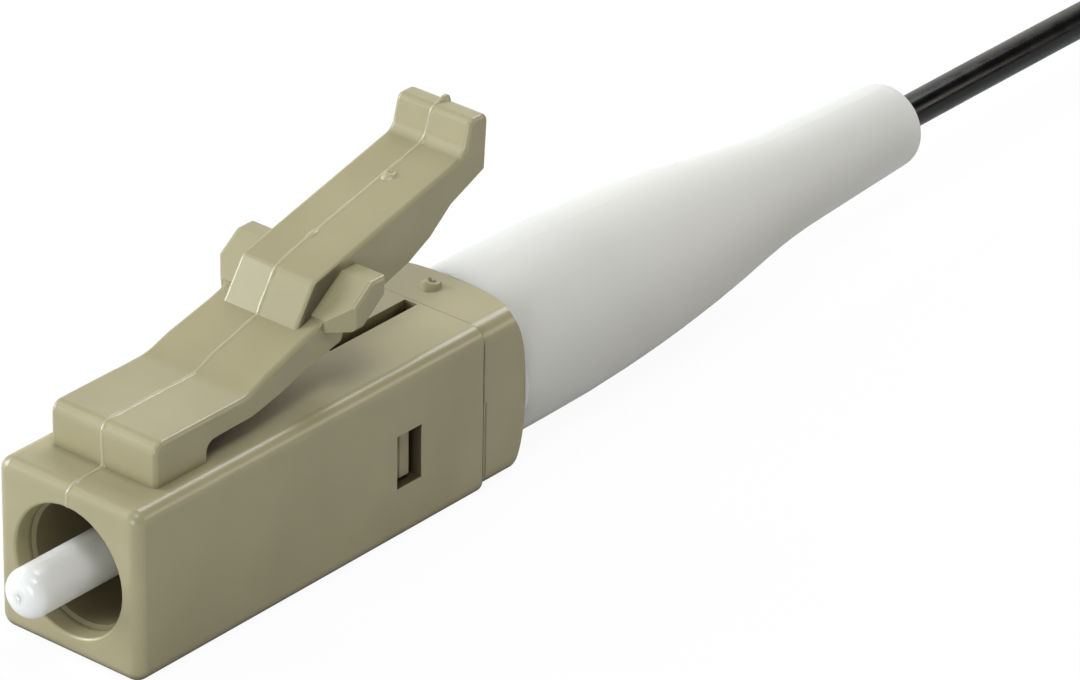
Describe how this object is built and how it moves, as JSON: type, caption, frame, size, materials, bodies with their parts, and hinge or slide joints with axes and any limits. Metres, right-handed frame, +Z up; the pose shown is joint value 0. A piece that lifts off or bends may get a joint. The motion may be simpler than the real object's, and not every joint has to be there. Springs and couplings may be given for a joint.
{
  "type": "lc fibre connector",
  "caption": "Small square-bodied fibre optic plug with a ceramic ferrule, a sprung latch lever and a tapered white boot on a thin buffered fibre lead.",
  "frame": {"origin": "the point where the ferrule's axis crosses the plug's flat front face", "axes": "+X along the fibre axis from the front face to the boot, +Z up towards the latch lever, +Y to the plug's left seen from behind"},
  "size_m": [0.086, 0.0111, 0.0095],
  "materials": {
    "housing_plastic": "moulded beige plastic, satin",
    "zirconia": "ground and polished, warm white",
    "flange_metal": "turned, plain",
    "guide_plastic": "extruded natural plastic",
    "optical_glass": "drawn, clear",
    "spring_steel": "drawn wire",
    "boot_elastomer": "moulded white elastomer, matte",
    "fibre_jacket": "extruded black jacket, smooth",
    "tie_plastic": "black band"
  },
  "bodies": {
    "plug": {"front_housing": "housing_plastic", "rear_body": "housing_plastic", "boot": "boot_elastomer", "compression_spring": "spring_steel", "fibre_in_boot": "fibre_jacket", "fibre_lead": "fibre_jacket", "fibre_hank": "fibre_jacket", "hank_tie": "tie_plastic"},
    "latch": {"latch_lever": "housing_plastic"},
    "ferrule_unit": {"ferrule": "zirconia", "ferrule_flange": "flange_metal", "guide_tube": "guide_plastic", "glass_fibre": "optical_glass"}
  },
  "joints": [
    {"name": "latch_flex", "type": "hinge", "parent": "plug", "child": "latch", "pos_m": [0.00375, 0, 0.00309], "axis": [0, 1, 0], "range_deg": [0, 9], "stiffness_Nm_per_rad": 0.02},
    {"name": "ferrule_float", "type": "slide", "parent": "plug", "child": "ferrule_unit", "axis": [1, 0, 0], "range_m": [0, 0.0009], "stiffness_N_per_m": 500, "deforming": ["compression_spring"]}
  ]
}
